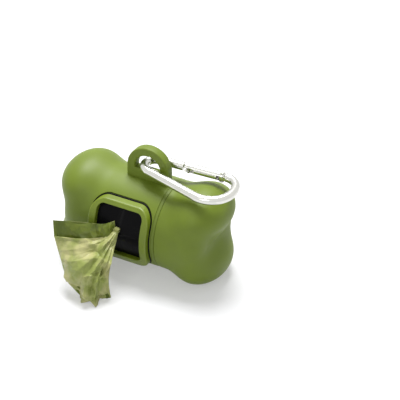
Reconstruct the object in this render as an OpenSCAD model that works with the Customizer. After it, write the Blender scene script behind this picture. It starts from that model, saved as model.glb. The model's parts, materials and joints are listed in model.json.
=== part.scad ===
// Bone-shaped waste bag dispenser with a two-part screw-together case, a slotted
// rubber window, a roll of bags and a spring-gate carabiner.
// +X runs along the bone towards the cap, the window faces -Y, and Z = 0 is the table.

/* [Case] */
// Radius of the round barrel between the lobes
barrel_r = 20.3; // [19:0.1:22]
// Distance from the middle of the bone to the notch in each end
barrel_half = 35.2; // [33:0.1:37]
// Rounding of the barrel's ends
barrel_round = 8.8; // [6:0.1:11]
// Distance of the lobe centres from the middle, along the bone
lobe_x = 28.9; // [27:0.1:30]
// Distance of the lobe centres above and below the bone's axis
lobe_z = 12.2; // [11:0.1:13]
// Lobe radius along the bone
lobe_rx = 12.1; // [11:0.1:13]
// Lobe radius across the bone
lobe_ry = 17.4; // [16:0.1:18]
// Lobe radius in height
lobe_rz = 10.8; // [10:0.1:12]
// Width of the soft blend between the barrel and the lobes
blend = 4.6; // [3:0.1:6]
// Depth of the small flats that the two lower lobes stand on
foot_flat = 0.5; // [0.3:0.1:0.8]

/* [Seam and thread] */
// Place of the body's rim along the bone
rim_x = 12.4; // [12.2:0.1:13]
// Width of the spacer ring that shows as a band in the seam
ring_w = 1.6; // [1.2:0.1:2]
// Outer radius of the threaded neck under the cap
neck_r = 18.2; // [18:0.05:18.4]
// Length of the neck beyond the body's rim
neck_len = 10.2; // [9:0.1:12]
// Distance that the cap moves out in one full turn
thread_lead = 12; // [10:1:14]

/* [Window] */
// Middle of the window along the bone
window_x = -3.3; // [-4:0.1:-3]
// Outer width of the window's bezel, along the bone
bezel_w = 29.6; // [28:0.1:30]
// Outer height of the bezel, measured straight across the curve
bezel_h = 30.6; // [29.5:0.1:32]
// Width of the opening in the bezel
opening_w = 22.6; // [20:0.1:23]
// Height of the opening in the bezel, measured straight across the curve
opening_h = 23.9; // [22:0.1:24]
// Distance of the opening's middle above the bezel's middle
opening_up = 1.3; // [1:0.1:1.6]
// Outside radius of the bezel's curved face
bezel_r = 23; // [22.5:0.1:23.4]
// Thickness of the rubber diaphragm
rubber_t = 1.1; // [0.8:0.1:1.4]

/* [Hanging loop] */
// Middle of the loop along the bone
loop_x = 0.8; // [0.4:0.1:1]
// Radius of the loop's round top, and half its width
loop_r = 10.3; // [9.8:0.1:10.5]
// Height of the round top's centre above the bone's axis
loop_z = 25.7; // [25.2:0.1:26]
// Thickness of the loop across the bone
loop_t = 4.5; // [3.8:0.1:4.7]
// Radius of the hole's round top, and half its width
eye_r = 6.4; // [6.2:0.1:6.6]
// Height of the hole's flat bottom above the bone's axis
eye_bottom = 24.9; // [24.8:0.1:25]

/* [Bag roll] */
// Radius of the full roll of bags
roll_r = 15.5; // [13:0.1:15.6]
// Length of the roll
roll_len = 62; // [58:0.5:63]
// Outer radius of the roll's card core
core_r = 5; // [4:0.1:6]
// Distance that the loose roll lies below the bone's axis
roll_drop = 1; // [0.8:0.1:1]

/* [Carabiner] */
// Radius of the carabiner's round bar
bar_r = 2; // [1.8:0.05:2]
// Centreline radius of the narrow end
narrow_r = 4.9; // [4.8:0.1:5.1]
// Centreline radius of the wide end
wide_r = 10.9; // [10.4:0.1:11]
// Centreline radius of the tighter bend by the gate's hinge
corner_r = 6.3; // [5.8:0.1:7]
// Distance between the centres of the two ends
ends_apart = 27.4; // [27:0.1:28]
// Outer radius of the hollow gate
gate_r = 2.1; // [2.1:0.05:2.3]
// Angle that the carabiner droops from level as it lies on the cap
droop = 2.6; // [2.2:0.1:2.8]
// Angle that the gate side is raised
lean = 5.1; // [4.5:0.1:5.5]
// Angle that the wide end swings away from the window side
sway = 0; // [-1:0.1:1]

/* [Hidden] */

fit_gap = 0.08;
side_gap = 0.1;
body_green = "olivedrab";
bezel_green = "yellowgreen";

// ---- The bone's outer form: a rounded barrel blended softly into four lobes ----

function soft_min(a, b, k) =
    let (h = min(max(0.5 + 0.5 * (b - a) / k, 0), 1)) b + (a - b) * h - k * h * (1 - h);

function barrel_field(p) =
    let (q = norm([p.y, p.z]) - (barrel_r - barrel_round),
         s = abs(p.x) - (barrel_half - barrel_round))
    min(max(q, s), 0) + norm([max(q, 0), max(s, 0)]) - barrel_round;

function lobe_field(p) =
    let (d = [abs(p.x) - lobe_x, p.y, abs(p.z) - lobe_z],
         u = norm([d.x / lobe_rx, d.y / lobe_ry, d.z / lobe_rz]),
         g = norm([d.x / pow(lobe_rx, 2), d.y / pow(lobe_ry, 2), d.z / pow(lobe_rz, 2)]))
    g == 0 ? -lobe_rz : u * (u - 1) / g;

function bone_field(p) = soft_min(barrel_field(p), lobe_field(p), blend);

// Distance from the point c to the bone's surface along the unit direction d.
function reach(c, d, near = 3, far = 60, steps = 18) =
    steps == 0 ? (near + far) / 2
    : let (mid = (near + far) / 2)
      bone_field(c + d * mid) < 0 ? reach(c, d, mid, far, steps - 1)
                                  : reach(c, d, near, mid, steps - 1);

axis_z = reach([lobe_x, 0, 0], [0, 0, -1]) - foot_flat;

// One end of the bone as a closed solid. Rings stand square to the axis from the
// cut at cut_x to turn_x, and then fan out round the point on the axis there.
around = 60;
turn_x = 16;
fan_rings = 17;

function ring_points(c, lean_angle, side) =
    [for (k = [0 : around - 1])
        let (a = 360 * k / around,
             d = [side * sin(lean_angle), cos(lean_angle) * cos(a), cos(lean_angle) * sin(a)])
        c + d * reach(c, d)];

module bone_end(cut_x, side, straight_rings) {
    start = side * turn_x;
    rings = concat(
        [for (i = [0 : straight_rings - 1])
            ring_points([cut_x + (start - cut_x) * i / straight_rings, 0, 0], 0, side)],
        [for (i = [0 : fan_rings - 1]) ring_points([start, 0, 0], 90 * i / fan_rings, side)]);
    count = len(rings);
    points = concat([[cut_x, 0, 0]], [for (r = rings) each r],
                    [[start + side * reach([start, 0, 0], [side, 0, 0]), 0, 0]]);
    tip = count * around + 1;
    function at(i, k) = 1 + i * around + k % around;
    faces = concat(
        [for (k = [0 : around - 1]) [0, at(0, k), at(0, k + 1)]],
        [for (i = [0 : count - 2], k = [0 : around - 1]) [at(i, k), at(i + 1, k), at(i, k + 1)]],
        [for (i = [0 : count - 2], k = [0 : around - 1])
            [at(i, k + 1), at(i + 1, k), at(i + 1, k + 1)]],
        [for (k = [0 : around - 1]) [at(count - 1, k), tip, at(count - 1, k + 1)]]);
    polyhedron(points, side > 0 ? faces : [for (f = faces) [f[2], f[1], f[0]]]);
}

// Everything on the bone is drawn round its axis and lifted to stand on the table.
module lifted() translate([0, 0, axis_z]) children();

// A solid turned round the bone's axis from its outline in [distance along X, radius].
module turned() rotate([0, 90, 0]) rotate_extrude($fn = 96) rotate(90) mirror([0, 1]) children();

module below_table() translate([-60, -40, -20 - axis_z]) cube([120, 80, 20]);

// ---- Case ----

cavity_r = 18.3;
cavity_end = 33;
cavity_round = 3.5;
neck_bore_r = 16.8;
cap_bore_r = 19.1;
cap_cavity_r = 17.4;
neck_end = rim_x + neck_len;
cap_x = rim_x + ring_w;
cap_step_x = neck_end + 0.8;

// Outline of a hollow that is open at open_x and has rounded corners at its far end.
module hollow_outline(open_x, end_x, r, corner) {
    side = sign(end_x - open_x);
    corner_x = end_x - side * corner;
    polygon([[open_x, 0], [open_x, r], [corner_x, r], [corner_x, 0]]);
    polygon([[corner_x, 0], [corner_x, r - corner], [end_x, r - corner], [end_x, 0]]);
    intersection() {
        translate([corner_x, r - corner]) circle(corner, $fn = 64);
        translate([min(corner_x, end_x), 0]) square([corner, r]);
    }
}

module body_hollow() {
    shoulder_x = rim_x - 3;
    turned() {
        hollow_outline(shoulder_x - 1.5, -cavity_end, cavity_r, cavity_round);
        polygon([[shoulder_x - 1.5, 0], [shoulder_x - 1.5, cavity_r], [shoulder_x, neck_bore_r],
                 [neck_end + 1, neck_bore_r], [neck_end + 1, 0]]);
    }
}

module loop_plate() {
    translate([loop_x, loop_t / 2, 0]) rotate([90, 0, 0]) linear_extrude(loop_t)
        difference() {
            union() {
                translate([0, loop_z]) circle(loop_r, $fn = 96);
                translate([-loop_r, cavity_r + 0.6]) square([2 * loop_r, loop_z - cavity_r - 0.6]);
            }
            intersection() {
                translate([0, loop_z]) circle(eye_r, $fn = 96);
                translate([-eye_r, eye_bottom]) square(2 * eye_r);
            }
        }
}

// A thread ridge: a helix with a flat-topped section. foot and top are its radii at
// the root and the crest, and x0 is its start along the bone.
thread_sweep = 150;
thread_step = 7.5;
ridge_foot_w = 1.5;
ridge_top_w = 0.8;

module thread_ridge(x0, foot, top, start_angle) {
    n = thread_sweep / thread_step;
    function section(i) =
        let (a = start_angle + i * thread_step, x = x0 + thread_lead * i * thread_step / 360)
        [for (q = [[-ridge_foot_w / 2, foot], [ridge_foot_w / 2, foot],
                   [ridge_top_w / 2, top], [-ridge_top_w / 2, top]])
            [x + q[0], q[1] * cos(a), q[1] * sin(a)]];
    points = [for (i = [0 : n]) each section(i)];
    sides = [for (i = [0 : n - 1], k = [0 : 3])
        each let (a = 4 * i + k, b = 4 * i + (k + 1) % 4)
            [[a, a + 4, b], [b, a + 4, b + 4]]];
    ends = [[0, 1, 2], [0, 2, 3], [4 * n, 4 * n + 2, 4 * n + 1], [4 * n, 4 * n + 3, 4 * n + 2]];
    faces = concat(sides, ends);
    polyhedron(points, top > foot ? faces : [for (f = faces) [f[2], f[1], f[0]]]);
}

male_top = neck_r + 0.72;
female_top = cap_bore_r - 0.55;
male_x = cap_x + 2.6;
flank_offset = 1.3;

module body_shell() {
    color(body_green) lifted() {
        difference() {
            union() {
                difference() {
                    bone_end(rim_x, -1, 10);
                    below_table();
                }
                loop_plate();
                turned() polygon([[rim_x - 4, neck_bore_r - 1], [rim_x - 4, neck_r],
                                  [neck_end, neck_r], [neck_end, neck_bore_r - 1]]);
            }
            body_hollow();
            intersection() {
                window_plate(2 * opening_w, 2 * opening_h, opening_round, barrel_r / 2, bezel_r + 1);
                opening_cut();
            }
            window_plate(rubber_w + 2 * side_gap, rubber_h + 2 * side_gap, bezel_round + rubber_lip,
                         seat_r, bezel_r + 1);
        }
        for (a = [0, 180]) thread_ridge(male_x, neck_r - 0.4, male_top, a);
    }
}

module cap_shell() {
    color(body_green) lifted() {
        difference() {
            bone_end(cap_x, 1, 1);
            below_table();
            turned() {
                polygon([[cap_x - 1, 0], [cap_x - 1, cap_bore_r], [cap_step_x, cap_bore_r],
                         [cap_step_x + 1.5, cap_cavity_r], [cap_step_x + 1.5, 0]]);
                hollow_outline(cap_step_x + 1.4, cavity_end, cap_cavity_r, cavity_round);
            }
        }
        for (a = [0, 180])
            thread_ridge(male_x - flank_offset, cap_bore_r + 0.35, female_top, a);
    }
}

module seam_ring() {
    color(body_green) lifted() turned()
        polygon([[rim_x + side_gap, neck_r + fit_gap], [rim_x + side_gap, barrel_r - 0.1],
                 [cap_x - side_gap, barrel_r - 0.1], [cap_x - side_gap, neck_r + fit_gap]]);
}

// ---- Window: bezel over a rubber diaphragm ----

seat_r = 19.5;
rubber_lip = 0.45;
rubber_w = bezel_w + 2 * rubber_lip;
rubber_h = bezel_h + 2 * rubber_lip;
bezel_round = 7;
opening_round = 3;
slit_w = 0.5;
slit_len_x = 17;
slit_len_z = 20;

module rounded_rect(w, h, r) {
    square([w - 2 * r, h], center = true);
    square([w, h - 2 * r], center = true);
    for (x = [-1, 1], y = [-1, 1]) translate([x * (w / 2 - r), y * (h / 2 - r)]) circle(r, $fn = 48);
}

// A flat outline run straight through the window side, with its middle at [x, z].
module window_side(at) translate([at.x, -barrel_r / 4, at.y]) rotate([90, 0, 0])
    linear_extrude(bezel_r + 5) children();

// The part of a tube round the bone's axis, from r_in to r_out, that lies behind a
// rounded rectangle on the window side.
module window_plate(w, h, r, r_in, r_out) {
    intersection() {
        turned() polygon([[window_x - w, r_in], [window_x - w, r_out],
                          [window_x + w, r_out], [window_x + w, r_in]]);
        window_side([window_x, 0]) rounded_rect(w, h, r);
    }
}

// The straight cut through the window side that leaves the opening.
module opening_cut()
    window_side([window_x, opening_up]) rounded_rect(opening_w, opening_h, opening_round);

module slot_bezel() {
    color(bezel_green) lifted() difference() {
        window_plate(bezel_w, bezel_h, bezel_round, seat_r + rubber_t, bezel_r);
        opening_cut();
    }
}

// The rubber's cross slit, with the round hole where the bag holds its flaps apart.
pull_x = -3.3;
pull_z = 2;
pull_hole_r = 2.6;

module slot_diaphragm() {
    color("black") lifted() difference() {
        window_plate(rubber_w, rubber_h, bezel_round + rubber_lip, seat_r, seat_r + rubber_t);
        window_side([pull_x, pull_z]) {
            square([slit_len_x, slit_w], center = true);
            square([slit_w, slit_len_z], center = true);
            circle(pull_hole_r, $fn = 32);
        }
    }
}

// ---- Bags ----

module along_roll() lifted() translate([-roll_len / 2, 0, -roll_drop]) rotate([0, 90, 0]) children();

module bag_roll() {
    color("darkseagreen") along_roll() difference() {
        cylinder(roll_len, r = roll_r, $fn = 96);
        translate([0, 0, -1]) cylinder(roll_len + 2, r = core_r, $fn = 64);
    }
}

module roll_core() {
    color("tan") along_roll() difference() {
        cylinder(roll_len, r = core_r, $fn = 64);
        translate([0, 0, -1]) cylinder(roll_len + 2, r = core_r - 1, $fn = 64);
    }
}

// The gathered film from the roll out through the slit.
web_r = 1.9;
web_in = roll_r + 0.6;
web_out = bezel_r + 1;

module bag_web() {
    color("darkseagreen") lifted() translate([pull_x, -web_in, pull_z]) rotate([90, 0, 0])
        cylinder(web_out - web_in, r = web_r, $fn = 24);
}

// The pulled end of the first bag: corners of its limp funnel, [place, half thickness].
tail_corners = [
    [[-4, -25.5, 2], 1.5], [[-28, -32, 7], 2], [[-31, -31, 1], 2], [[-27, -38, -6], 3],
    [[-19, -43, -14], 2.5], [[-4, -44, -20.5], 1.5], [[3, -39, -18], 2], [[-2, -31, -6], 2]];

module bag_tail() {
    color("darkseagreen") lifted() hull()
        for (c = tail_corners) translate(c[0]) sphere(c[1], $fn = 20);
}

// ---- Carabiner, drawn flat in X and Y round the centre of its narrow end ----

spine_angle = acos((narrow_r - wide_r) / ends_apart);
spine_len = ends_apart * sin(spine_angle);
corner_from = 23;
corner_x = ends_apart + (wide_r - corner_r) * cos(corner_from);
corner_y = (wide_r - corner_r) * sin(corner_from);
corner_far = norm([corner_x, corner_y]);
gate_lean = acos((narrow_r - corner_r) / corner_far);
gate_angle = atan2(corner_y, corner_x) + gate_lean;
side_len = corner_far * sin(gate_lean);
hang_x = loop_x + 2.9;
hang_y = 0;
hang_gap = 0.5;
hang_z = eye_bottom + bar_r + hang_gap - narrow_r * sin(droop);

module hung() lifted() translate([hang_x, hang_y, hang_z]) rotate([lean, droop, sway]) children();

// The straight gate side, drawn along X from the narrow end's tangent point, with +Y outwards.
module on_gate_side() rotate(gate_angle - 90) translate([0, narrow_r, 0]) children();

// The straight bars run a little way into the bends, and are slightly thinner there.
bar_overlap = 0.2;
bar_step = 0.03;
nose_end = 11.6;
gate_start = nose_end + 0.8;
latch_s = gate_start + 1.7;
hinge_s = side_len - 2;
lug_t = 1.8;
tongue_t = 1.5;
slot_t = 2.1;
rivet_r = 0.8;
rivet_head_r = 1.2;
rivet_head_t = 0.3;

module arc_bar(r, from, to, bar = bar_r) rotate(from) rotate_extrude(angle = to - from, $fn = 96)
    translate([r, 0]) circle(bar, $fn = 32);

module frame_bar() {
    arc_bar(narrow_r, gate_angle, 360 - spine_angle);
    translate([ends_apart, 0, 0]) arc_bar(wide_r, -spine_angle, corner_from);
    translate([corner_x, corner_y, 0]) arc_bar(corner_r, corner_from - 2, gate_angle, bar_r - bar_step);
    rotate(90 - spine_angle) translate([-bar_overlap, -narrow_r, 0]) rotate([0, 90, 0])
        cylinder(spine_len + 2 * bar_overlap, r = bar_r - bar_step, $fn = 32);
    on_gate_side() translate([-bar_overlap, 0, 0]) rotate([0, 90, 0])
        cylinder(nose_end + bar_overlap, r = bar_r - bar_step, $fn = 32);
}

module carabiner_frame() {
    color("silver") hung() difference() {
        union() {
            frame_bar();
            on_gate_side() {
                // Hooked tongue that enters the gate's slot at the nose.
                translate([nose_end - 1, 0, -tongue_t / 2]) linear_extrude(tongue_t)
                    polygon([[0, 0.1], [0, 1.6], [4.6, 1.6], [5.1, 1.1], [5.1, -1.2],
                             [4.3, -1.2], [4.3, 0.1]]);
                // Flat lug that carries the hinge rivet.
                translate([0, 0, -lug_t / 2]) linear_extrude(lug_t) {
                    translate([hinge_s, 0]) circle(1.8, $fn = 32);
                    translate([hinge_s, -1.6]) square([side_len - hinge_s + 0.9, 3.2]);
                }
            }
        }
        on_gate_side() translate([hinge_s, 0, -3]) cylinder(6, r = rivet_r, $fn = 32);
    }
}

bore_r = 1.45;
bore_start = gate_start + 5;
bore_end = hinge_s - 2.2;

module carabiner_gate() {
    color("silver") hung() on_gate_side() difference() {
        union() {
            translate([gate_start, 0, 0]) rotate([0, 90, 0])
                cylinder(hinge_s - gate_start, r = gate_r, $fn = 32);
            translate([hinge_s, 0, 0]) sphere(gate_r, $fn = 32);
        }
        // Slot for the hooked tongue
        translate([gate_start - 1, -3, -slot_t / 2]) cube([5.5, 6, slot_t]);
        // Slot for the hinge lug
        translate([bore_end, -3, -slot_t / 2]) cube([6, 6, slot_t]);
        translate([bore_start, 0, 0]) rotate([0, 90, 0])
            cylinder(bore_end - bore_start + 0.1, r = bore_r, $fn = 32);
        translate([hinge_s, 0, -3]) cylinder(6, r = rivet_r + 0.05, $fn = 32);
        translate([latch_s, -1.1, -3]) cylinder(6, r = 0.5, $fn = 32);
    }
}

module gate_rivet() {
    color("silver") hung() on_gate_side() translate([hinge_s, 0, 0]) {
        cylinder(2 * gate_r + 0.2, r = rivet_r, center = true, $fn = 32);
        for (s = [-1, 1]) translate([0, 0, s * (gate_r + side_gap / 2 + rivet_head_t / 2)])
            cylinder(rivet_head_t, r = rivet_head_r, center = true, $fn = 32);
    }
}

module gate_latch_pin() {
    color("dimgray") hung() on_gate_side() translate([latch_s, -1.1, -1.9])
        cylinder(3.8, r = 0.5, $fn = 32);
}

// Closing spring inside the gate.
spring_r = 1.05;
spring_wire_r = 0.18;
spring_turns = 7;
rings_a_turn = 8;
spring_start = bore_start + 0.3;
plunger_x = bore_end - 3.4;
spring_len = plunger_x - spring_start - 0.3;

function spring_point(i) =
    let (a = 360 * i / rings_a_turn)
    [spring_start + spring_len * i / (spring_turns * rings_a_turn), spring_r * cos(a), spring_r * sin(a)];

module gate_spring() {
    n = spring_turns * rings_a_turn;
    function wire_ring(i) =
        let (a = 360 * i / rings_a_turn, c = spring_point(i), out = [0, cos(a), sin(a)])
        [for (k = [0 : 5]) c + spring_wire_r * (cos(60 * k) * out + sin(60 * k) * [1, 0, 0])];
    points = [for (i = [0 : n]) each wire_ring(i)];
    sides = [for (i = [0 : n - 1], k = [0 : 5])
        each let (a = 6 * i + k, b = 6 * i + (k + 1) % 6) [[a, b, a + 6], [b, b + 6, a + 6]]];
    first = [for (k = [1 : 4]) [0, k + 1, k]];
    last = [for (k = [1 : 4]) [6 * n, 6 * n + k, 6 * n + k + 1]];
    echo(least_gap = spring_len / spring_turns - 2 * spring_wire_r);
    color("gray") hung() on_gate_side() polyhedron(points, concat(sides, first, last));
}

module gate_plunger() {
    color("gray") hung() on_gate_side() translate([plunger_x, 0, 0]) rotate([0, 90, 0]) {
        cylinder(2.6, r = 1.35, $fn = 32);
        translate([0, 0, 2.6]) cylinder(0.7, r = 0.8, $fn = 32);
    }
}

body_shell();
cap_shell();
seam_ring();
slot_bezel();
slot_diaphragm();
bag_roll();
roll_core();
bag_tail();
bag_web();
carabiner_frame();
carabiner_gate();
gate_rivet();
gate_latch_pin();
gate_spring();
gate_plunger();
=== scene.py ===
import bmesh
import bpy
import json
import math
import numpy as np
from mathutils import Matrix, Vector


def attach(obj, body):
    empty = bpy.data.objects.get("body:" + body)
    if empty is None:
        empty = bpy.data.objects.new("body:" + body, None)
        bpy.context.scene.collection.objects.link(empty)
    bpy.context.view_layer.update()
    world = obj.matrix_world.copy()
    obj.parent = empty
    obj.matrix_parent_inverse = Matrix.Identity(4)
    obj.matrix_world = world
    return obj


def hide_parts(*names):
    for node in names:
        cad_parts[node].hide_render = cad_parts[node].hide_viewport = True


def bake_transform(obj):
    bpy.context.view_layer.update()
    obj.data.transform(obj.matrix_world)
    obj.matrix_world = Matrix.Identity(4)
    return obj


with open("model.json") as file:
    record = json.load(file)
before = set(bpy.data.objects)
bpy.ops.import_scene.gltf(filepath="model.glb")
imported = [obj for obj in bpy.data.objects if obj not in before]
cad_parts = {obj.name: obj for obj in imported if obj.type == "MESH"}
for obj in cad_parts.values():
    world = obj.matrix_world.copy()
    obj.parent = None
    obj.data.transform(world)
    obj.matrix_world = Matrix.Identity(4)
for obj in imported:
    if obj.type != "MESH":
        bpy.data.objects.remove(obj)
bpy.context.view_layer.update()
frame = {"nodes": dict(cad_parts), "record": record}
scene = bpy.context.scene

# ---- Camera ----
# A long lens looks down at the window side from beyond the cap's end. Its place and aim
# are those that the case's outline in the photograph was taken from.
LENS_MM, SENSOR_MM, CLIP_FAR = 144.24, 36, 20
CAMERA_PLACE = Vector((0.292772, -0.526640, 0.421405))
right = Vector((0.8851, 0.4648, 0.0230)).normalized()
ahead = Vector((-0.3792, 0.7489, -0.5435)).normalized()
camera = bpy.data.objects.new("camera", bpy.data.cameras.new("camera"))
scene.collection.objects.link(camera)
scene.camera = camera
camera.data.lens = LENS_MM
camera.data.sensor_width = SENSOR_MM
camera.data.clip_end = CLIP_FAR
aim = Matrix((right, right.cross(ahead), -ahead)).transposed().to_4x4()
aim.translation = CAMERA_PLACE
camera.matrix_world = aim


# ---- Case body ----
# The larger half of the bone, moulded in matt olive green plastic about 2 mm thick, with a
# neck that the cap screws onto. It is turned from rings round the bone's axis, and then the
# bezel's seat and the window are cut out of its front.
cap_turn = next(joint for joint in frame["record"]["behaviour"]["joints"] if joint["name"] == "cap_turn")
# Height of the bone's axis. Rings and outlines are measured from the axis.
AXIS = cap_turn["pos_m"][2]
# The bone is a barrel with rounded ends, joined softly to an upper and a lower lobe at each end.
BARREL_R, BARREL_HALF, BARREL_ROUND = 0.0203, 0.0352, 0.0088
LOBE_X, LOBE_Z = 0.0289, 0.0122
LOBE = np.array([0.0121, 0.0174, 0.0108])
LOBE_BLEND = 0.0046
# Rings stand straight as far as TURN_X and fan out from there to the bone's tip, by these
# angles. The skin is looked for along rays between two lengths, by halving.
TURN_X, RING_STEP, AROUND = 0.016, 0.0009, 192
FAN_RINGS, FAN_FROM, FAN_TO = 70, 88.5, 1.5
SHORT_RAY, LONG_RAY, HALVINGS = 0.003, 0.06, 30
# Added where a length that may be nothing is divided by.
TINY = 1e-12
RIM_X, RING_W, NECK_LONG = 0.0124, 0.0016, 0.0102
CAP_X, NECK_END = RIM_X + RING_W, RIM_X + NECK_LONG
NECK_R, NECK_BORE_R, NECK_SOFT, NECK_FILLET = 0.0182, 0.0168, 0.0004, 0.00005
SHOULDER_X = 0.0094
CAVITY_R, CAVITY_END, CAVITY_ROUND = 0.0183, 0.033, 0.0035
CAVITY_FLOOR_RINGS = (0.008, 0.001)
EDGE, EDGE_ANGLES = 0.0003, (22.5, 45, 67.5, 90)
# The window's seat holds the rubber's lip and the bezel. Both sit round the barrel's front.
WINDOW_X = -0.0033
BEZEL_W, BEZEL_H, BEZEL_ROUND = 0.0296, 0.0306, 0.007
OPENING_W, OPENING_H, OPENING_ROUND = 0.0226, 0.0239, 0.003
OPENING_UP = 0.0013
SEAT_R, LIP, SEAT_CLEAR = 0.0195, 0.00045, 0.0001
TOOL_FRONT, SEAT_TOOL_END, HOLE_TOOL_END, CORE_HALF = -0.026, -0.005, -0.008, 0.03


def bone_field(p):
    """Below zero inside the bone and above it outside, for points measured from its middle."""
    out = np.hypot(p[..., 1], p[..., 2]) - (BARREL_R - BARREL_ROUND)
    along = np.abs(p[..., 0]) - (BARREL_HALF - BARREL_ROUND)
    barrel = (np.minimum(np.maximum(out, along), 0)
              + np.hypot(np.maximum(out, 0), np.maximum(along, 0)) - BARREL_ROUND)
    from_lobe = np.stack([np.abs(p[..., 0]) - LOBE_X, p[..., 1], np.abs(p[..., 2]) - LOBE_Z], -1)
    reach = np.linalg.norm(from_lobe / LOBE, axis=-1)
    slope = np.linalg.norm(from_lobe / LOBE ** 2, axis=-1) + TINY
    lobe = reach * (reach - 1) / slope
    share = np.clip(0.5 + 0.5 * (lobe - barrel) / LOBE_BLEND, 0, 1)
    return lobe + (barrel - lobe) * share - LOBE_BLEND * share * (1 - share)


def bone_ring(x, lean, side, sunk=0.0):
    """Where rays round the axis from x, leaning to one side by an angle, meet the bone's skin."""
    turn = np.linspace(0, 2 * np.pi, AROUND, endpoint=False)
    ray = np.stack([np.full(AROUND, side * math.sin(lean)), math.cos(lean) * np.cos(turn),
                    math.cos(lean) * np.sin(turn)], -1)
    start = np.array([x, 0.0, 0.0])
    inner, outer = np.full(AROUND, SHORT_RAY), np.full(AROUND, LONG_RAY)
    for _ in range(HALVINGS):
        middle = (inner + outer) / 2
        inside = bone_field(start + ray * middle[:, None]) < 0
        inner, outer = np.where(inside, middle, inner), np.where(inside, outer, middle)
    return start + ray * ((inner + outer) / 2 - sunk)[:, None]


def plain_ring(x, r):
    turn = np.linspace(0, 2 * np.pi, AROUND, endpoint=False)
    return np.stack([np.full(AROUND, x), r * np.cos(turn), r * np.sin(turn)], -1)


def make_piece(name, points, faces):
    mesh = bpy.data.meshes.new(name)
    mesh.from_pydata(np.asarray(points, float).tolist(), [], faces)
    piece = bpy.data.objects.new(name, mesh)
    scene.collection.objects.link(piece)
    return piece


def skin(rows, across, first=0, closed=True, looped=False):
    """Faces between rows of points, which are numbered row after row from the first."""
    faces = []
    for i in range(rows if looped else rows - 1):
        here, after = first + i * across, first + (i + 1) % rows * across
        for k in range(across if closed else across - 1):
            beside = (k + 1) % across
            faces.append((here + k, here + beside, after + beside, after + k))
    return faces


def capped_skin(rows, across):
    """The same with one face over each end."""
    last = (rows - 1) * across
    return skin(rows, across) + [tuple(range(across))[::-1], tuple(range(last, last + across))]


def face_out(piece):
    """Turns a closed piece's faces outwards, or a sheet's away from the bone's middle."""
    work = bmesh.new()
    work.from_mesh(piece.data)
    bmesh.ops.recalc_face_normals(work, faces=work.faces)
    if work.calc_volume(signed=True) < 0:
        bmesh.ops.reverse_faces(work, faces=work.faces)
    work.to_mesh(piece.data)
    work.free()


def shade(piece, crease=35):
    """Shades a piece smoothly, except over edges that turn by more than the crease's angle."""
    piece.data.shade_smooth()
    piece.data.set_sharp_from_angle(angle=math.radians(crease))


def lathe(name, rings, first_pole, last_pole):
    """A closed piece turned round the axis. Nothing reaches below the table."""
    points = np.vstack([[first_pole], *rings, [last_pole]])
    points[:, 2] = np.maximum(points[:, 2] + AXIS, 0)
    last_ring = 1 + (len(rings) - 1) * AROUND
    faces = [(0, 1 + (k + 1) % AROUND, 1 + k) for k in range(AROUND)]
    faces += skin(len(rings), AROUND, first=1)
    faces += [(last_ring + k, last_ring + (k + 1) % AROUND, last_ring + AROUND) for k in range(AROUND)]
    piece = make_piece(name, points, faces)
    face_out(piece)
    return piece


def rounding(x, r, radius, start, end, steps):
    """A rounded corner of a turned outline, about its own middle. 0 degrees is away from the axis."""
    return [(x + radius * math.sin(a), r + radius * math.cos(a))
            for a in np.radians(np.linspace(start, end, steps + 1))]


def cavity(side, r):
    """The hollow's far end, from its wall round the corner to its middle."""
    corner = rounding(side * (CAVITY_END - CAVITY_ROUND), r - CAVITY_ROUND, CAVITY_ROUND, 0, side * 90, 3)
    return corner + [(side * CAVITY_END, floor_r) for floor_r in CAVITY_FLOOR_RINGS]


def turn_half(name, side, rim_x, inside):
    """Half of the bone: rings from its tip to the rim's soft edge, then back along the inside."""
    leans = np.radians(np.linspace(FAN_FROM, FAN_TO, FAN_RINGS))
    rings = [bone_ring(side * TURN_X, lean, side) for lean in leans]
    steps = 2 + int(abs(rim_x - side * TURN_X) / RING_STEP)
    rings += [bone_ring(x, 0, side) for x in np.linspace(side * TURN_X, rim_x + side * EDGE, steps)]
    for a in np.radians(EDGE_ANGLES):
        rings.append(bone_ring(rim_x + side * EDGE * (1 - math.sin(a)), 0, side, EDGE * (1 - math.cos(a))))
    rings += [plain_ring(x, r) for x, r in inside]
    tip = bone_ring(side * TURN_X, math.pi / 2, side)[0]
    return lathe(name, rings, tip, (side * CAVITY_END, 0, 0))


def finished_mesh(obj):
    """A curve's or a cut piece's shape as a plain mesh."""
    bpy.context.view_layer.update()
    view = bpy.context.evaluated_depsgraph_get()
    return bpy.data.meshes.new_from_object(obj.evaluated_get(view))


def cut_away(piece, tool):
    step = piece.modifiers.new("cut", "BOOLEAN")
    step.operation = "DIFFERENCE"
    step.solver = "EXACT"
    step.object = tool
    done = finished_mesh(piece)
    piece.modifiers.clear()
    piece.data = done
    bpy.data.objects.remove(tool)


def rounded_outline(w, h, r, per_corner=12):
    """Points of a rounded rectangle about its middle, seen from the front."""
    points = []
    for corner, (right_side, top_side) in enumerate(((1, 1), (-1, 1), (-1, -1), (1, -1))):
        for i in range(per_corner + 1):
            a = math.radians(90 * (corner + i / per_corner))
            points.append((right_side * (w / 2 - r) + r * math.cos(a),
                           top_side * (h / 2 - r) + r * math.sin(a)))
    return np.array(points)


def punch(name, outline, end):
    """A straight tool of one outline, which cuts from the front to its end."""
    points = [(x, y, z) for y in (TOOL_FRONT, end) for x, z in outline]
    tool = make_piece(name, points, capped_skin(2, len(outline)))
    face_out(tool)
    return tool


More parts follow.
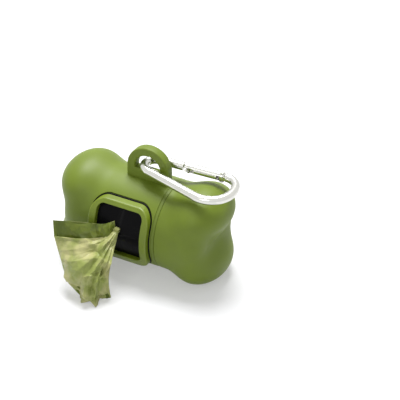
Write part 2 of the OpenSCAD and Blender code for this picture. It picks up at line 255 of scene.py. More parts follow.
neck_and_hollow = [(RIM_X, NECK_R + NECK_FILLET), (RIM_X + NECK_FILLET, NECK_R)]
neck_and_hollow += rounding(NECK_END - NECK_SOFT, NECK_R - NECK_SOFT, NECK_SOFT, 0, 90, 2)
neck_and_hollow += rounding(NECK_END - NECK_SOFT, NECK_BORE_R + NECK_SOFT, NECK_SOFT, 90, 180, 2)
neck_and_hollow += [(SHOULDER_X, NECK_BORE_R), (SHOULDER_X - (CAVITY_R - NECK_BORE_R), CAVITY_R)]
neck_and_hollow += cavity(-1, CAVITY_R)
body = turn_half("case_body", -1, RIM_X, neck_and_hollow)
seat_room = 2 * (LIP + SEAT_CLEAR)
seat_outline = rounded_outline(BEZEL_W + seat_room, BEZEL_H + seat_room, BEZEL_ROUND + LIP)
seat = punch("seat", seat_outline + [WINDOW_X, AXIS], SEAT_TOOL_END)
core_ends = [plain_ring(x, SEAT_R) for x in (-CORE_HALF, CORE_HALF)]
core = lathe("core", core_ends, (-CORE_HALF, 0, 0), (CORE_HALF, 0, 0))
cut_away(seat, core)
cut_away(body, seat)
opening = rounded_outline(OPENING_W, OPENING_H, OPENING_ROUND)
cut_away(body, punch("hole", opening + [WINDOW_X, AXIS + OPENING_UP], HOLE_TOOL_END))
shade(body)


def put(tree, kind, values=None, **settings):
    """A shader node, with its settings and the values of its own sockets."""
    node = tree.nodes.new("ShaderNode" + kind)
    for setting, choice in settings.items():
        setattr(node, setting, choice)
    for socket, value in (values or {}).items():
        node.inputs[socket].default_value = value
    return node


def wire(tree, *wires):
    for source, output, target, socket in wires:
        tree.links.new(source.outputs[output], target.inputs[socket])


def effect_group(name, inputs):
    """A shader node group with named inputs, which puts out a colour, a roughness and a height."""
    tree = bpy.data.node_groups.new(name, "ShaderNodeTree")
    for label, value in inputs.items():
        kind = "NodeSocketColor" if isinstance(value, tuple) else "NodeSocketFloat"
        tree.interface.new_socket(label, in_out="INPUT", socket_type=kind).default_value = value
    tree.interface.new_socket("Color", in_out="OUTPUT", socket_type="NodeSocketColor")
    for label in ("Roughness", "Height"):
        tree.interface.new_socket(label, in_out="OUTPUT", socket_type="NodeSocketFloat")
    return tree, tree.nodes.new("NodeGroupInput"), tree.nodes.new("NodeGroupOutput")


def make_finish(name, effect, look, bump, own=None):
    """A material that takes colour, roughness and relief from an effect with its own values."""
    material = bpy.data.materials.new(name)
    material.use_nodes = True
    tree = material.node_tree
    shader = tree.nodes["Principled BSDF"]
    for socket, value in (own or {}).items():
        shader.inputs[socket].default_value = value
    texture = put(tree, "Group", look, node_tree=effect)
    dent = put(tree, "Bump", {"Strength": bump[0], "Distance": bump[1]})
    wire(tree,
         (texture, "Color", shader, "Base Color"),
         (texture, "Roughness", shader, "Roughness"),
         (texture, "Height", dent, "Height"),
         (dent, "Normal", shader, "Normal"))
    return material


# The grain of moulded plastic: a fine eroded texture, with soft patches of tone and of gloss.
PATCH_SCALE, PATCH_GLOSS = 90, 0.06
grain, given, result = effect_group(
    "moulded_grain", {"Color": (0.5, 0.5, 0.5, 1), "Mottle": 0.1, "Roughness": 0.5, "Grain size": 4000.0})
place = put(grain, "TexCoord")
wide = put(grain, "TexNoise", {"Scale": PATCH_SCALE, "Detail": 3})
fine = put(grain, "TexNoise", {"Detail": 2})
patch = put(grain, "MapRange", {"From Min": 0.3, "From Max": 0.7, "To Min": -1})
lighter = put(grain, "Math", {2: 1}, operation="MULTIPLY_ADD")
tone = put(grain, "HueSaturation")
rough = put(grain, "Math", {1: PATCH_GLOSS}, operation="MULTIPLY_ADD")
wire(grain,
     (place, "Object", wide, "Vector"),
     (place, "Object", fine, "Vector"),
     (given, "Grain size", fine, "Scale"),
     (wide, "Fac", patch, "Value"),
     (patch, "Result", lighter, 0),
     (given, "Mottle", lighter, 1),
     (given, "Color", tone, "Color"),
     (lighter, "Value", tone, "Value"),
     (tone, "Color", result, "Color"),
     (patch, "Result", rough, 0),
     (given, "Roughness", rough, 2),
     (rough, "Value", result, "Roughness"),
     (fine, "Fac", result, "Height"))

GRAIN_DEPTH = 0.0001
case_green = make_finish(
    "case_green", grain,
    {"Color": (0.154, 0.216, 0.014, 1), "Mottle": 0.06, "Roughness": 0.50, "Grain size": 4000.0},
    bump=(0.35, GRAIN_DEPTH), own={"Specular IOR Level": 0.42})
body.data.materials.append(case_green)
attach(body, "case")
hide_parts("body_shell")

# ---- Hanging loop ----
# An arched eye, moulded on top of the case body in the same plastic with softened edges.
# The carabiner's bar runs through its half-round hole.
LOOP_X, LOOP_R, LOOP_Z, LOOP_T = 0.0008, 0.0103, 0.0257, 0.0045
LOOP_FOOT, LOOP_SOFT = 0.0186, 0.0006
EYE_R, EYE_BOTTOM = 0.0064, 0.0249
ARCH_POINTS = 64


def arch(r, start):
    """An arc over the loop's middle, from an angle on its right to the same on its left."""
    angles = np.linspace(start, math.pi - start, ARCH_POINTS)
    return [(r * math.cos(a), LOOP_Z + r * math.sin(a)) for a in angles]


loop_outline = arch(LOOP_R, 0) + [(-LOOP_R, LOOP_FOOT), (LOOP_R, LOOP_FOOT)]
eye_outline = arch(EYE_R, math.asin((EYE_BOTTOM - LOOP_Z) / EYE_R))
plate = bpy.data.curves.new("hanging_loop", "CURVE")
plate.dimensions = "2D"
plate.fill_mode = "BOTH"
plate.extrude = LOOP_T / 2 - LOOP_SOFT
plate.bevel_depth = LOOP_SOFT
plate.bevel_resolution = 4
plate.offset = -LOOP_SOFT
for outline in (loop_outline, eye_outline):
    spline = plate.splines.new("POLY")
    spline.points.add(len(outline) - 1)
    for point, (x, z) in zip(spline.points, outline):
        point.co = (x, z, 0, 1)
    spline.use_cyclic_u = True
plate_curve = bpy.data.objects.new("loop_curve", plate)
scene.collection.objects.link(plate_curve)
loop = bpy.data.objects.new("case_loop", finished_mesh(plate_curve))
scene.collection.objects.link(loop)
bpy.data.objects.remove(plate_curve)
loop.data.transform(Matrix.Translation((LOOP_X, 0, AXIS)) @ Matrix.Rotation(math.pi / 2, 4, "X"))
face_out(loop)
shade(loop, crease=40)
loop.data.materials.append(case_green)
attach(loop, "case")

# ---- Neck thread ----
# Two ridges moulded round the neck in the same plastic, which start half a turn apart. A
# ridge winds 150 degrees round the axis and runs out at both of its ends.
THREAD_TURN, THREAD_LEAD = 150, 0.012
THREAD_STEPS, RUN_OUT_STEPS = 60, 6
RIDGE_FOOT_HALF, RIDGE_TOP_HALF = 0.00075, 0.0004
NECK_RIDGE_X, NECK_RIDGE_FOOT, NECK_RIDGE_TOP = 0.0166, 0.0179, 0.01892


def thread(name, start_x, foot, top, start):
    """One ridge from an angle round the axis, between the radii of its foot and its top."""
    points = []
    for i in range(THREAD_STEPS + 1):
        a = start + math.radians(THREAD_TURN) * i / THREAD_STEPS
        x = start_x + THREAD_LEAD * (THREAD_TURN / 360) * i / THREAD_STEPS
        crest = foot + (top - foot) * min(1, i / RUN_OUT_STEPS, (THREAD_STEPS - i) / RUN_OUT_STEPS)
        for dx, r in ((-RIDGE_FOOT_HALF, foot), (-RIDGE_TOP_HALF, crest),
                      (RIDGE_TOP_HALF, crest), (RIDGE_FOOT_HALF, foot)):
            points.append((x + dx, r * math.cos(a), r * math.sin(a) + AXIS))
    ridge = make_piece(name, points, capped_skin(THREAD_STEPS + 1, 4))
    face_out(ridge)
    shade(ridge, crease=30)
    ridge.data.materials.append(case_green)
    return ridge


for i in range(2):
    neck_ridge = thread(f"neck_thread_{i + 1}", NECK_RIDGE_X, NECK_RIDGE_FOOT, NECK_RIDGE_TOP, math.pi * i)
    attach(neck_ridge, "case")

# ---- Cap ----
# The other end of the bone, moulded in the same green plastic. It screws onto the neck,
# which draws it up against the seam ring.
CAP_BORE_R, CAP_CAVITY_R, CAP_CHAMFER = 0.0191, 0.0174, 0.0002
STEP_X, STEP_LONG = NECK_END + 0.0008, 0.0015
bore_and_hollow = [(CAP_X, CAP_BORE_R + CAP_CHAMFER), (CAP_X + CAP_CHAMFER, CAP_BORE_R),
                   (STEP_X, CAP_BORE_R), (STEP_X + STEP_LONG, CAP_CAVITY_R)]
cap = turn_half("case_cap", 1, CAP_X, bore_and_hollow + cavity(1, CAP_CAVITY_R))
shade(cap)
cap.data.materials.append(case_green)
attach(cap, "cap")
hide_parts("cap_shell")

# ---- Cap thread ----
# The matching pair of ridges, moulded inside the cap's bore. They slide along the neck's
# ridges as the cap is turned, and are free of them after 150 degrees.
CAP_RIDGE_X, CAP_RIDGE_FOOT, CAP_RIDGE_TOP = 0.0153, 0.01925, 0.01855
for i in range(2):
    cap_ridge = thread(f"cap_thread_{i + 1}", CAP_RIDGE_X, CAP_RIDGE_FOOT, CAP_RIDGE_TOP, math.pi * i)
    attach(cap_ridge, "cap")

# ---- Seam ring ----
# A loose green plastic washer on the neck that fills the seam between body and cap. The
# turned ring is kept as it is, in the case's plastic with a slightly deeper tone.
ring_green = make_finish(
    "ring_green", grain,
    {"Color": (0.140, 0.198, 0.014, 1), "Mottle": 0.08, "Roughness": 0.5, "Grain size": 4000.0},
    bump=(0.35, GRAIN_DEPTH))


def refinish(node, finish):
    """Gives a CAD node, which is kept as it is, a better material."""
    slots = frame["nodes"][node].data.materials
    slots.clear()
    slots.append(finish)


refinish("seam_ring", ring_green)

# ---- Window bezel ----
# The brighter green plastic frame snapped over the rubber, curved with the barrel. Its
# band slopes a little towards the opening, with soft outer and inner edges.
BEZEL_R, BEZEL_FOOT = 0.0230, 0.0206
BAND_W, OUTER_SOFT, INNER_SOFT, INNER_DROP = 0.0036, 0.0006, 0.00048, 0.0001
SOFT_POINTS, CORNER_POINTS = 7, 24
# A step longer than this is a straight side, which is divided so that it follows the barrel.
LONG_STEP, SIDE_PARTS = 0.004, 10


def on_front(x, z, r):
    """The front point at a radius from the axis, with x and z from the window's middle."""
    return x + WINDOW_X, -math.sqrt(r * r - z * z), z + AXIS


# Across the band, from its outer edge at 0 to its inner edge at 1: a share and a radius.
profile = [(0, BEZEL_FOOT)]
for a in np.radians(np.linspace(0, 90, SOFT_POINTS)):
    profile.append((OUTER_SOFT * (1 - math.cos(a)) / BAND_W, BEZEL_R - OUTER_SOFT * (1 - math.sin(a))))
profile += [(share, BEZEL_R - INNER_DROP * drop) for share, drop in ((0.35, 0.6), (0.5, 1), (0.65, 1))]
for a in np.radians(np.linspace(90, 0, SOFT_POINTS)):
    profile.append((1 - INNER_SOFT * (1 - math.cos(a)) / BAND_W,
                    BEZEL_R - INNER_DROP - INNER_SOFT * (1 - math.sin(a))))
profile.append((1, BEZEL_FOOT))
outer = rounded_outline(BEZEL_W, BEZEL_H, BEZEL_ROUND, CORNER_POINTS)
inner = rounded_outline(OPENING_W, OPENING_H, OPENING_ROUND, CORNER_POINTS) + [0, OPENING_UP]
edge = []
for a, b, c, d in zip(outer, np.roll(outer, -1, axis=0), inner, np.roll(inner, -1, axis=0)):
    parts = SIDE_PARTS if np.linalg.norm(b - a) > LONG_STEP else 1
    edge += [(a + (b - a) * i / parts, c + (d - c) * i / parts) for i in range(parts)]
points = [on_front(*(a + (b - a) * share), r) for a, b in edge for share, r in profile]
bezel = make_piece("window_bezel", points, skin(len(edge), len(profile), looped=True))
face_out(bezel)
shade(bezel, crease=50)
bezel.data.materials.append(make_finish(
    "bezel_green", grain,
    {"Color": (0.168, 0.232, 0.012, 1), "Mottle": 0.07, "Roughness": 0.42, "Grain size": 4000.0},
    bump=(0.25, GRAIN_DEPTH)))
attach(bezel, "case")
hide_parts("slot_bezel")

# ---- Rubber diaphragm ----
# A soft black rubber sheet behind the bezel, cut with a cross so that a bag pulls out of
# its middle and stays held. Its four flaps are pushed out a little round the film.
RUBBER_T, RUBBER_CLEAR = 0.0011, 0.0001
RUBBER_HALF_W, RUBBER_HALF_H, RUBBER_ROUND = BEZEL_W / 2 + LIP, BEZEL_H / 2 + LIP, BEZEL_ROUND + LIP
RUBBER_STEPS = 150
# Where the bag comes out, along the bone and up from its axis.
PULL = np.array([-0.0033, 0.002])
SLIT_HALF_X, SLIT_HALF_Z, SLIT_HALF_OPEN, SLIT_DEEP = 0.0085, 0.010, 0.0002, 0.0008
FLAP_RISE, FLAP_REACH = 0.0014, 0.0055
CURL_RISE, CURL_REACH = 0.0003, 0.0009
# A corner's pull fades towards the rubber's middle by this power of the distance.
PULL_POWER, NEARLY_ZERO = 4, 1e-9


def flap_lift(x, z):
    """How far the rubber stands out: raised round the bag and beside the cross, sunk in the cut."""
    u, v = x - PULL[0], z - PULL[1]
    level = abs(v) if abs(u) < SLIT_HALF_X else math.inf
    upright = abs(u) if abs(v) < SLIT_HALF_Z else math.inf
    slit = min(level, upright)
    rise = FLAP_RISE * math.exp(-(math.hypot(u, v) / FLAP_REACH) ** 2)
    curl = CURL_RISE * math.exp(-(slit / CURL_REACH) ** 2)
    return rise + curl - SLIT_DEEP * (slit < SLIT_HALF_OPEN)


def pull_in(x, z):
    """Draws a point near a corner of the rubber in, so that the corner is round."""
    far = math.hypot(x, z)
    if far < NEARLY_ZERO:
        return x, z
    dx, dz = abs(x) / far, abs(z) / far
    to_side = min(RUBBER_HALF_W / max(dx, NEARLY_ZERO), RUBBER_HALF_H / max(dz, NEARLY_ZERO))
    mid_x, mid_z = RUBBER_HALF_W - RUBBER_ROUND, RUBBER_HALF_H - RUBBER_ROUND
    if to_side * dx <= mid_x or to_side * dz <= mid_z:
        return x, z
    along = dx * mid_x + dz * mid_z
    to_round = along + math.sqrt(along ** 2 - mid_x ** 2 - mid_z ** 2 + RUBBER_ROUND ** 2)
    scale = 1 - (1 - to_round / to_side) * (far / to_side) ** PULL_POWER
    return x * scale, z * scale


points = []
for across in np.linspace(-1, 1, RUBBER_STEPS + 1):
    for up in np.linspace(-1, 1, RUBBER_STEPS + 1):
        x, z = pull_in(RUBBER_HALF_W * across, RUBBER_HALF_H * up)
        points.append(on_front(x, z, SEAT_R + RUBBER_T + flap_lift(x + WINDOW_X, z)))
rubber = make_piece("rubber_diaphragm", points, skin(RUBBER_STEPS + 1, RUBBER_STEPS + 1, closed=False))
face_out(rubber)
thick = rubber.modifiers.new("thickness", "SOLIDIFY")
thick.thickness = RUBBER_T - RUBBER_CLEAR
thick.offset = -1
rubber.data.shade_smooth()
rubber.data.materials.append(make_finish(
    "black_rubber", grain,
    {"Color": (0.0025, 0.0025, 0.003, 1), "Mottle": 0.25, "Roughness": 0.36, "Grain size": 2500.0},
    bump=(0.5, GRAIN_DEPTH), own={"Specular IOR Level": 0.07}))
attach(rubber, "case")
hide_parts("slot_diaphragm")

# ---- Bag roll ----
# The roll of bags, light green film wound tightly on its core. The turns are drawn thicker
# than the film, as one spiral band whose edges stand a little unevenly at both ends.
ROLL_R, CORE_R, ROLL_HALF, ROLL_DROP = 0.0155, 0.005, 0.031, 0.001
TURNS, STEPS_A_TURN = 13, 72
ROLL_CLEAR, TURN_GAP, FIRST_T, UNEVEN = 0.0001, 0.00003, 0.00012, 0.0005
pitch = (ROLL_R - CORE_R - 2 * ROLL_CLEAR) / TURNS
band_steps = TURNS * STEPS_A_TURN
turn_setback = np.random.default_rng(3).uniform(0, UNEVEN, TURNS + 1)
setback = np.interp(np.linspace(0, TURNS, band_steps + 1), range(TURNS + 1), turn_setback)
points = []
for i in range(band_steps + 1):
    turns = i / STEPS_A_TURN
    inner_r = CORE_R + ROLL_CLEAR + pitch * max(turns - 1, 0)
    outer_r = min(CORE_R + ROLL_CLEAR + pitch * turns + FIRST_T, inner_r + pitch - TURN_GAP)
    half = ROLL_HALF - setback[i]
    a = 2 * math.pi * turns
    for x, r in ((-half, inner_r), (half, inner_r), (half, outer_r), (-half, outer_r)):
        points.append((x, r * math.cos(a), r * math.sin(a) + AXIS - ROLL_DROP))
wound = make_piece("wound_bags", points, capped_skin(band_steps + 1, 4))
face_out(wound)
shade(wound, crease=40)
wound.data.materials.append(make_finish(
    "roll_green", grain,
    {"Color": (0.36, 0.46, 0.15, 1), "Mottle": 0.15, "Roughness": 0.3, "Grain size": 1500.0},
    bump=(0.3, GRAIN_DEPTH)))
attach(wound, "roll")
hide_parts("bag_roll")

# ---- Roll core ----
# The plain brown card tube that the bags are wound on. The turned tube is kept as it is,
# with the coarse dull surface of card.
refinish("roll_core", make_finish(
    "core_card", grain,
    {"Color": (0.42, 0.31, 0.18, 1), "Mottle": 0.2, "Roughness": 0.8, "Grain size": 1200.0},
    bump=(0.6, GRAIN_DEPTH)))

# ---- Bag tail ----
# The open end of the first bag, thin light green film pulled through the slit and left
# hanging to the table. Its front and back layers part at the mouth and crumple together
# below it. They are laid over a few rows of points, and then pushed out into folds.

# Points in millimetres. Rows run from the mouth down to the table, and
# each row from the mouth's far corner to the gathered film at the slit.
FRONT = np.array([
    [[-29.1, -33.0, -1.6], [-16.0, -34.0, 2.2], [-7.3, -29.0, 3.1], [-2.1, -21.8, 5.3]],
    [[-24.0, -36.5, -9.1], [-12.2, -40.0, -5.1], [-4.2, -35.0, -2.7], [-1.4, -26.5, -0.9]],
    [[-17.6, -40.5, -17.4], [-7.9, -44.0, -13.9], [-2.2, -42.0, -11.8], [1.2, -37.0, -10.6]],
    [[-9.3, -42.5, -22.0], [-4.8, -43.2, -22.3], [-1.5, -41.0, -22.1], [2.0, -36.5, -21.8]]])
BACK = np.array([
    [[-31.3, -30.0, 4.4], [-20.5, -28.2, 6.1], [-8.6, -24.8, 6.9], [-4.3, -22.0, 8.4]],
    [[-24.8, -34.0, -7.5], [-13.0, -33.0, -5.5], [-5.4, -30.0, -3.8], [-2.4, -25.2, -1.2]],
    [[-18.0, -39.5, -16.8], [-9.0, -39.8, -15.2], [-3.4, -38.4, -13.6], [0.6, -35.8, -11.4]],
    [[-9.6, -42.0, -22.2], [-5.2, -41.8, -22.4], [-2.0, -39.8, -22.3], [1.5, -36.0, -22.1]]])
ROWS, COLS = 150, 150
FILM_T, FILM_OFF_TABLE = 0.00012, 0.0003
# Rows at the slit's end where the two layers stand apart in two points.
PARTED_ROWS = 24
# Pleats fan out from just beyond the slit's corner, each at a slightly wavering angle.
PLEATS, FRONT_PLEAT, BACK_PLEAT = 5, 0.0009, 0.0004
FAN_CORNER, WAVER, WAVERS = 1.04, 0.4, 5
# Each layer's facets, coarse to fine: height, how many across and down, and the seed.
FRONT_FACETS = ((0.0029, 4, 5, 14), (0.0013, 7, 9, 12), (0.0004, 15, 18, 13))
BACK_FACETS = ((0.00153, 5, 5, 21), (0.00072, 9, 10, 22))
# The grid of creases is bent by waves across and down, so that no two facets are alike.
BEND, BEND_ACROSS, BEND_DOWN, ANY_PHASE = 0.45, (1.3, 2.1), (1.2, 1.9), 6
# The front's facets grow from the mouth to the table. No fold moves the welds at the sides.
GROWTH_AT_MOUTH, GROWTH = 0.55, 0.8
WELD_SHARE = 0.1


def smooth_rows(rows, n):
    """Points on a smooth curve through the rows, n of them."""
    t = np.linspace(0, len(rows) - 1, n)
    i = np.minimum(t.astype(int), len(rows) - 2)
    f = (t - i).reshape(-1, *([1] * (rows.ndim - 1)))
    p0, p1, p2, p3 = (rows[np.clip(i + k, 0, len(rows) - 1)] for k in (-1, 0, 1, 2))
    return 0.5 * (2 * p1 + (p2 - p0) * f + (2 * p0 - 5 * p1 + 4 * p2 - p3) * f ** 2
                  + (3 * p1 - p0 - 3 * p2 + p3) * f ** 3)


def laid_layer(rows):
    long_way = smooth_rows(rows, ROWS)
    return smooth_rows(long_way.transpose(1, 0, 2), COLS).transpose(1, 0, 2) / 1000


def facets(u, v, across, down, seed):
    """Heights from -1 to 1 on flat triangles of many shapes, as film crumples."""
    random = np.random.default_rng(seed)
    corner = random.uniform(-1, 1, (across + 4, down + 4))
    phase = random.uniform(0, ANY_PHASE, 4)
    x = across * u + 1 + (BEND * np.sin(BEND_ACROSS[0] * down * v + phase[0])
                          * np.sin(BEND_ACROSS[1] * across * u + phase[1]))
    y = down * v + 1 + (BEND * np.sin(BEND_DOWN[0] * across * u + phase[2])
                        * np.sin(BEND_DOWN[1] * down * v + phase[3]))
    i, k = np.floor(x).astype(int), np.floor(y).astype(int)
    fx, fy = x - i, y - k
    a, b, c, d = corner[i, k], corner[i + 1, k], corner[i, k + 1], corner[i + 1, k + 1]
    falling = np.where(fx + fy < 1, a + (b - a) * fx + (c - a) * fy,
                       d + (c - d) * (1 - fx) + (b - d) * (1 - fy))
    rising = np.where(fx > fy, a + (b - a) * fx + (d - b) * fy, a + (d - c) * fx + (c - a) * fy)
    return np.where((i + k) % 2 == 0, falling, rising)


def fan_pleats(u, v, seed):
    """Sharp pleats that spread from the gathered corner, deeper further from it."""
    random = np.random.default_rng(seed)
    turn = np.arctan2(v, FAN_CORNER - u) / (math.pi / 2)
    phase = PLEATS * turn + WAVER * np.sin(WAVERS * turn + random.uniform(0, ANY_PHASE))
    far = np.clip(np.hypot(1 - u, v), 0, 1)
    return far * (4 * np.abs(phase - np.floor(phase + 0.5)) - 1)


def folds(u, v, pleat_height, pleat_seed, kinds, growth):
    """How far one layer's folds stand off the smooth layer."""
    height = pleat_height * fan_pleats(u, v, pleat_seed)
    for size, across, down, seed in kinds:
        height = height + growth * size * facets(u, v, across, down, seed)
    return height * np.clip(np.minimum(u, 1 - u) / WELD_SHARE, 0, 1)


def push(layer, height):
    """Moves a layer's points square to it."""
    normal = np.cross(np.gradient(layer, axis=1), np.gradient(layer, axis=0))
    normal /= np.linalg.norm(normal, axis=-1, keepdims=True) + TINY
    return layer + normal * height[..., None]


u, v = np.meshgrid(np.linspace(0, 1, COLS), np.linspace(0, 1, ROWS))
front_folds = folds(u, v, FRONT_PLEAT, 1, FRONT_FACETS, GROWTH_AT_MOUTH + GROWTH * v)
back_folds = folds(u, v, BACK_PLEAT, 2, BACK_FACETS, 1)
points = np.concatenate([push(laid_layer(FRONT), -front_folds).reshape(-1, 3),
                         push(laid_layer(BACK), back_folds).reshape(-1, 3)])
points[:, 2] = np.maximum(points[:, 2] + AXIS, FILM_OFF_TABLE)
back_start = ROWS * COLS
faces = [quad[::-1] for quad in skin(ROWS, COLS, closed=False)]
faces += skin(ROWS, COLS, first=back_start, closed=False)
for i in range(ROWS - 1):
    far, near = i * COLS, i * COLS + COLS - 1
    faces.append((back_start + far, back_start + far + COLS, far + COLS, far))
    if i >= PARTED_ROWS:
        faces.append((near, near + COLS, back_start + near + COLS, back_start + near))
film = make_piece("bag_tail_film", points, faces)
shade(film, crease=24)
thick = film.modifiers.new("thickness", "SOLIDIFY")
thick.thickness = FILM_T
thick.offset = -1
# The inner skin takes the second material, the film painted with the shade inside the bag.
thick.material_offset = 1

# The film's look: cloudy patches of a paler and a deeper green, the deeper one duller, with
# small round-edged wrinkles. The deeper green is painted shade of the folds, laid in random cloudy patches.
CLOUD_SCALE, WRINKLE_SCALE, CLOUD_GLOSS = 130, 420, -0.1
film_look, given, result = effect_group(
    "crumpled_film", {"Color": (0.5, 0.5, 0.2, 1), "Painted fold shade": (0.3, 0.4, 0.1, 1), "Roughness": 0.39})
place = put(film_look, "TexCoord")
cloud = put(film_look, "TexNoise", {"Scale": CLOUD_SCALE, "Detail": 4})
patch = put(film_look, "MapRange", {"From Min": 0.38, "From Max": 0.62})
tint = put(film_look, "Mix", data_type="RGBA")
rough = put(film_look, "Math", {1: CLOUD_GLOSS}, operation="MULTIPLY_ADD")
wrinkle = put(film_look, "TexVoronoi", {"Scale": WRINKLE_SCALE}, feature="F1")
# A Mix node's sockets for colours are its inputs 6 and 7 and its output 2.
wire(film_look,
     (place, "Object", cloud, "Vector"),
     (place, "Object", wrinkle, "Vector"),
     (cloud, "Fac", patch, "Value"),
     (patch, "Result", tint, 0),
     (given, "Painted fold shade", tint, 6),
     (given, "Color", tint, 7),
     (tint, 2, result, "Color"),
     (patch, "Result", rough, 0),
     (given, "Roughness", rough, 2),
     (rough, "Value", result, "Roughness"),
     (wrinkle, "Distance", result, "Height"))
WRINKLE_BUMP, THIN_FILM = (0.35, 0.0004), {"Transmission Weight": 0.2, "IOR": 1.35}
film_outside = make_finish(
    "film_outside", film_look,
    {"Color": (0.60, 0.585, 0.26, 1), "Painted fold shade": (0.37, 0.43, 0.115, 1), "Roughness": 0.39},
    bump=WRINKLE_BUMP, own=THIN_FILM)
# The same film painted a deep olive: painted shade inside the bag and on its back layer.
film_inside_painted_shade = make_finish(
    "film_inside_painted_shade", film_look,
    {"Color": (0.20, 0.25, 0.03, 1), "Painted fold shade": (0.11, 0.15, 0.016, 1), "Roughness": 0.39},
    bump=WRINKLE_BUMP, own=THIN_FILM)
film.data.materials.append(film_outside)
film.data.materials.append(film_inside_painted_shade)
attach(film, "pulled_bag")
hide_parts("bag_tail")

# ---- Gathered film ----
# The same bag's film between the roll and its pulled end. The slit draws it together into
# a pleated rope, which comes out of the roll with the bag as it is pulled.
ROPE_FROM, ROPE_TO, ROPE_RISE = -0.0161, -0.0236, 0.0022
ROPE_R, ROPE_RINGS, ROPE_ROUND = 0.0013, 36, 80
# At the roll the rope is spread along the bone and pressed flat, over this share of its length.
SPREAD_SHARE, SPREAD_WIDER, SPREAD_FLATTER = 0.4, 0.0035, 0.0007
# Pleats round the rope: their depth, how many, and how far they twist along it.
ROPE_PLEATS = ((0.15, 9, 2.5), (0.08, 5, -4))
points = []
for t in np.linspace(0, 1, ROPE_RINGS):
    y = ROPE_FROM + (ROPE_TO - ROPE_FROM) * t
    z = PULL[1] + AXIS + ROPE_RISE * t
    spread = max(0, 1 - t / SPREAD_SHARE) ** 2
    half_w, half_h = ROPE_R + SPREAD_WIDER * spread, ROPE_R - SPREAD_FLATTER * spread
    for a in np.linspace(0, 2 * math.pi, ROPE_ROUND, endpoint=False):
        pleat = 1 + sum(depth * math.cos(count * a + twist * t) for depth, count, twist in ROPE_PLEATS)
        points.append((PULL[0] + half_w * pleat * math.cos(a), y, z + half_h * pleat * math.sin(a)))
rope = make_piece("gathered_film", points, capped_skin(ROPE_RINGS, ROPE_ROUND))
face_out(rope)
shade(rope, crease=30)
rope.data.materials.append(film_outside)
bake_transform(rope)
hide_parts("bag_web")

# ---- Carabiner ----
# A bent bar with a hollow sprung gate, bright polished. Its solids stay as they are, and get
# metal with uneven polish, a faint change of tone and fine scratches.
DULL_SCALE, SCRATCH_SCALE, SCRATCH_DEPTH = 300, 1500, 0.00005
polish, given, result = effect_group(
    "polished_metal", {"Color": (0.7, 0.7, 0.7, 1), "Roughness": 0.15, "Spread": 0.08})
place = put(polish, "TexCoord")
dull = put(polish, "TexNoise", {"Scale": DULL_SCALE, "Detail": 4})
scratch = put(polish, "TexNoise", {"Scale": SCRATCH_SCALE, "Detail": 2})
rough = put(polish, "Math", operation="MULTIPLY_ADD")
darker = put(polish, "MapRange", {"From Min": 0.3, "From Max": 0.7, "To Min": 1.05, "To Max": 0.95})
tone = put(polish, "HueSaturation")
wire(polish,
     (place, "Object", dull, "Vector"),
     (place, "Object", scratch, "Vector"),
     (dull, "Fac", rough, 0),
     (given, "Spread", rough, 1),
     (given, "Roughness", rough, 2),
     (rough, "Value", result, "Roughness"),
     (dull, "Fac", darker, "Value"),
     (given, "Color", tone, "Color"),
     (darker, "Result", tone, "Value"),
     (tone, "Color", result, "Color"),
     (scratch, "Fac", result, "Height"))
clip_metal = make_finish(
    "clip_metal", polish, {"Color": (0.69, 0.69, 0.645, 1), "Roughness": 0.15, "Spread": 0.14},
    bump=(0.15, SCRATCH_DEPTH), own={"Metallic": 1})
pin_steel = make_finish(
    "pin_steel", polish, {"Color": (0.62, 0.62, 0.60, 1), "Roughness": 0.25, "Spread": 0.15},
    bump=(0.3, SCRATCH_DEPTH), own={"Metallic": 1})
for node in ("carabiner_frame", "carabiner_gate", "gate_rivet"):
    refinish(node, clip_metal)
for node in ("gate_latch_pin", "gate_spring", "gate_plunger"):
    refinish(node, pin_steel)

# ---- Floor and light ----
# A plain white table under soft light from above and behind, with a weaker light in front.
# The table and the room look white to the camera and in reflections.
TABLE_HALF, TABLE_WHITE, TABLE_GLOW = 3, (0.64, 0.64, 0.655, 1), 0.34
ROOM_LIGHT, ROOM_SEEN = 0.40, 1.0
LAMP_SIZE, LAMP_AIM = 0.5, Vector((0, 0, 0.02))


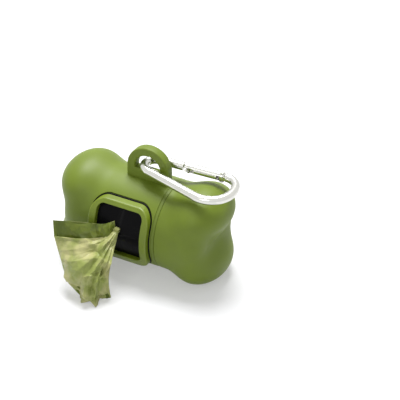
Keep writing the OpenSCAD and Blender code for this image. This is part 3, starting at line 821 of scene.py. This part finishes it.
def seen_as(tree, *rays):
    """A socket that is 1 for these kinds of ray and 0 for every other."""
    path = put(tree, "LightPath")
    socket = path.outputs[rays[0]]
    for ray in rays[1:]:
        either = put(tree, "Math", operation="MAXIMUM")
        tree.links.new(socket, either.inputs[0])
        tree.links.new(path.outputs[ray], either.inputs[1])
        socket = either.outputs["Value"]
    return socket


corners = [(TABLE_HALF * x, TABLE_HALF * y, 0) for x, y in ((-1, -1), (1, -1), (1, 1), (-1, 1))]
floor = make_piece("floor", corners, [(0, 1, 2, 3)])
white = bpy.data.materials.new("table_white")
white.use_nodes = True
tree = white.node_tree
tree.nodes.remove(tree.nodes["Principled BSDF"])
diffuse = put(tree, "BsdfDiffuse", {"Color": TABLE_WHITE})
glow = put(tree, "Emission")
level = put(tree, "Math", {1: TABLE_GLOW}, operation="MULTIPLY")
both = put(tree, "AddShader")
tree.links.new(seen_as(tree, "Is Camera Ray", "Is Glossy Ray"), level.inputs[0])
wire(tree,
     (level, "Value", glow, "Strength"),
     (diffuse, "BSDF", both, 0),
     (glow, "Emission", both, 1),
     (both, "Shader", tree.nodes["Material Output"], "Surface"))
floor.data.materials.append(white)

world = bpy.data.worlds.new("studio")
scene.world = world
world.use_nodes = True
tree = world.node_tree
background = tree.nodes["Background"]
background.inputs["Color"].default_value = (1, 1, 1, 1)
level = put(tree, "MapRange", {"To Min": ROOM_LIGHT, "To Max": ROOM_SEEN})
tree.links.new(seen_as(tree, "Is Camera Ray", "Is Transmission Ray", "Is Glossy Ray"), level.inputs["Value"])
wire(tree, (level, "Result", background, "Strength"))


def lamp(name, place, power):
    light = bpy.data.lights.new(name, "AREA")
    light.shape = "DISK"
    light.size = LAMP_SIZE
    light.energy = power
    lamp_object = bpy.data.objects.new(name, light)
    scene.collection.objects.link(lamp_object)
    lamp_object.location = place
    lamp_object.rotation_mode = "QUATERNION"
    lamp_object.rotation_quaternion = (Vector(place) - LAMP_AIM).to_track_quat("Z", "Y")


lamp("top_light", (-0.16, 0.25, 0.88), power=10.0)
lamp("front_fill", (0.1, -0.9, 0.6), power=1.6)

scene.view_settings.view_transform = "Standard"
bpy.context.view_layer.update()
